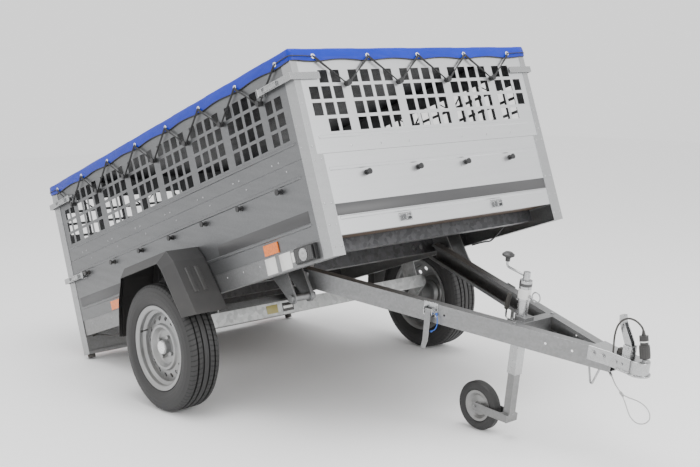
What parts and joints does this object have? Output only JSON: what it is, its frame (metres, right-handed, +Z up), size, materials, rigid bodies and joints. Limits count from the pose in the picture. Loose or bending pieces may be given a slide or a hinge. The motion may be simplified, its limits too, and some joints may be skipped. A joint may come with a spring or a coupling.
{
  "type": "livestock trailer",
  "caption": "Single-axle tipping box trailer with punched mesh sides, laced flat cover, hinged V drawbar, ball coupler and crank jockey wheel, parked tipped back.",
  "frame": {"origin": "centre of the footprint of everything but the free cords, on the ground", "axes": "+X forward towards the coupler, +Y left, +Z up; the box stands tipped back on its rear feet"},
  "size_m": [3.1848, 1.704, 1.5054],
  "materials": {
    "floor_board": "film faced plywood, brown",
    "frame_zinc": "hot dip galvanised, dull grey",
    "sheet_zinc": "galvanised sheet, satin",
    "bright_sheet": "galvanised sheet, bright",
    "hardware_zinc": "bright zinc plate",
    "tarp_fabric": "coated tarpaulin, royal blue, semi gloss",
    "black_plastic": "moulded, charcoal black",
    "black_cord": "black sheathed cord",
    "blue_cord": "braided, blue",
    "steel_cable": "plastic covered wire rope",
    "lamp_lens": "clear, red and amber by place",
    "wheel_paint": "silver wheel enamel",
    "tyre_rubber": "black tyre rubber",
    "soft_rubber": "black moulded rubber"
  },
  "bodies": {
    "box": {"floor_panel": "floor_board", "side_rails": "frame_zinc", "cross_beams": "frame_zinc", "side_wall_right": "sheet_zinc", "side_wall_left": "sheet_zinc", "front_wall": "bright_sheet", "corner_posts": "frame_zinc", "mesh_side_right": "sheet_zinc", "mesh_side_left": "sheet_zinc", "mesh_front": "sheet_zinc", "mesh_rear": "sheet_zinc", "tarpaulin": "tarp_fabric", "rope_hooks": "black_plastic", "shock_cord": "black_cord", "rear_light_beam": "frame_zinc", "rear_feet": "soft_rubber", "axle": "frame_zinc", "fender_right": "black_plastic", "fender_left": "black_plastic", "lamp_housings": "black_plastic", "lamp_lenses": "lamp_lens", "hinge_brackets": "frame_zinc", "latch_bases": "hardware_zinc", "wiring_harness": "black_cord"},
    "tailgate": {"tailgate": "sheet_zinc"},
    "swing_arm_right": {"swing_arm_right": "frame_zinc"},
    "swing_arm_left": {"swing_arm_left": "frame_zinc"},
    "wheel_right": {"rim_right": "wheel_paint", "tyre_right": "tyre_rubber"},
    "wheel_left": {"rim_left": "wheel_paint", "tyre_left": "tyre_rubber"},
    "front_right_latch": {"front_right_latch": "hardware_zinc"},
    "rear_right_latch": {"rear_right_latch": "hardware_zinc"},
    "gate_right_latch": {"gate_right_latch": "hardware_zinc"},
    "front_left_latch": {"front_left_latch": "hardware_zinc"},
    "rear_left_latch": {"rear_left_latch": "hardware_zinc"},
    "gate_left_latch": {"gate_left_latch": "hardware_zinc"},
    "drawbar": {"drawbar_arm_right": "frame_zinc", "drawbar_arm_left": "frame_zinc", "arm_hinge_plates": "frame_zinc", "cross_plate": "frame_zinc", "coupler_body": "hardware_zinc", "coupler_boot": "soft_rubber", "drawbar_bolts": "hardware_zinc", "drawbar_fittings": "hardware_zinc", "jockey_tube": "hardware_zinc", "plug": "black_plastic", "plug_cable": "black_cord", "safety_cable": "steel_cable", "lanyard": "blue_cord"},
    "coupler_handle": {"coupler_handle": "hardware_zinc"},
    "lock_lever_right": {"lock_lever_right": "hardware_zinc"},
    "lock_lever_left": {"lock_lever_left": "hardware_zinc"},
    "crank": {"crank": "hardware_zinc"},
    "crank_knob": {"crank_knob": "black_plastic"},
    "jockey_leg": {"jockey_leg": "hardware_zinc"},
    "jockey_wheel": {"jockey_rim": "black_plastic", "jockey_tyre": "tyre_rubber"},
    "clamp_lever": {"clamp_lever": "hardware_zinc"},
    "ring_pin": {"ring_pin": "hardware_zinc"}
  },
  "joints": [
    {"name": "tailgate_hinge", "type": "hinge", "parent": "box", "child": "tailgate", "pos_m": [-1.36657, 0, 0.1775], "axis": [0, 1, 0], "range_deg": [-90, 0]},
    {"name": "suspension_right", "type": "hinge", "parent": "box", "child": "swing_arm_right", "pos_m": [-0.20737, -0.64, 0.35972], "axis": [0, 1, 0], "range_deg": [-8, 15], "stiffness_Nm_per_rad": 900, "springref_deg": -2.75},
    {"name": "wheel_spin_right", "type": "hinge", "parent": "swing_arm_right", "child": "wheel_right", "pos_m": [-0.27407, -0.77, 0.2735], "axis": [0, 1, 0], "continuous": true},
    {"name": "suspension_left", "type": "hinge", "parent": "box", "child": "swing_arm_left", "pos_m": [-0.20737, 0.64, 0.35972], "axis": [0, 1, 0], "range_deg": [-8, 15], "stiffness_Nm_per_rad": 900, "springref_deg": -2.75},
    {"name": "wheel_spin_left", "type": "hinge", "parent": "swing_arm_left", "child": "wheel_left", "pos_m": [-0.27407, 0.77, 0.2735], "axis": [0, 1, 0], "continuous": true},
    {"name": "front_right_latch_hinge", "type": "hinge", "parent": "box", "child": "front_right_latch", "pos_m": [0.27657, -0.671, 1.33928], "axis": [-0.3079, 0, 0.9514], "range_deg": [-110, 0]},
    {"name": "front_left_latch_hinge", "type": "hinge", "parent": "box", "child": "front_left_latch", "pos_m": [0.27657, 0.671, 1.33928], "axis": [-0.3079, 0, 0.9514], "range_deg": [0, 110]},
    {"name": "rear_right_latch_hinge", "type": "hinge", "parent": "box", "child": "rear_right_latch", "pos_m": [-1.34467, -0.671, 0.81469], "axis": [-0.3079, 0, 0.9514], "range_deg": [0, 110]},
    {"name": "rear_left_latch_hinge", "type": "hinge", "parent": "box", "child": "rear_left_latch", "pos_m": [-1.34467, 0.671, 0.81469], "axis": [-0.3079, 0, 0.9514], "range_deg": [-110, 0]},
    {"name": "gate_right_latch_hinge", "type": "hinge", "parent": "box", "child": "gate_right_latch", "pos_m": [-1.24235, -0.671, 0.44], "axis": [-0.3079, 0, 0.9514], "range_deg": [0, 110]},
    {"name": "gate_left_latch_hinge", "type": "hinge", "parent": "box", "child": "gate_left_latch", "pos_m": [-1.24235, 0.671, 0.44], "axis": [-0.3079, 0, 0.9514], "range_deg": [-110, 0]},
    {"name": "drawbar_hinge", "type": "hinge", "parent": "box", "child": "drawbar", "pos_m": [0.24716, 0, 0.51415], "axis": [0, 1, 0], "range_deg": [-26.94, 0]},
    {"name": "coupler_handle_hinge", "type": "hinge", "parent": "drawbar", "child": "coupler_handle", "pos_m": [1.50345, 0, 0.44252], "axis": [0, 1, 0], "range_deg": [-40, 0]},
    {"name": "lock_lever_hinge_right", "type": "hinge", "parent": "drawbar", "child": "lock_lever_right", "pos_m": [0.7564, -0.2476, 0.50124], "axis": [0.9444, 0.2927, -0.1497], "range_deg": [-150, 0]},
    {"name": "lock_lever_hinge_left", "type": "hinge", "parent": "drawbar", "child": "lock_lever_left", "pos_m": [0.7564, 0.2476, 0.50124], "axis": [0.9444, -0.2927, -0.1497], "range_deg": [0, 150]},
    {"name": "crank_turn", "type": "hinge", "parent": "drawbar", "child": "crank", "pos_m": [1.06989, -0.045, 0.63277], "axis": [-0.1566, 0, -0.9877], "range_deg": [-2880, 2160]},
    {"name": "jockey_slide", "type": "slide", "parent": "drawbar", "child": "jockey_leg", "axis": [-0.1566, 0, -0.9877], "range_m": [-0.081, 0.061]},
    {"name": "knob_spin", "type": "hinge", "parent": "crank", "child": "crank_knob", "pos_m": [0.98052, -0.045, 0.70769], "axis": [0.1566, 0, 0.9877], "continuous": true},
    {"name": "jockey_wheel_spin", "type": "hinge", "parent": "jockey_leg", "child": "jockey_wheel", "pos_m": [0.8333, -0.045, 0.0985], "axis": [0, 1, 0], "continuous": true},
    {"name": "clamp_lever_hinge", "type": "hinge", "parent": "drawbar", "child": "clamp_lever", "pos_m": [0.99477, -0.045, 0.46547], "axis": [0, 1, 0], "range_deg": [-60, 0]},
    {"name": "ring_pin_slide", "type": "slide", "parent": "drawbar", "child": "ring_pin", "axis": [0.9877, 0, -0.1566], "range_m": [0, 0.01], "stiffness_N_per_m": 600, "springref_m": -0.01}
  ],
  "couplings": [
    {"joint": "jockey_slide", "follows": "crank_turn", "m_per_rad": 0.0015915}
  ]
}
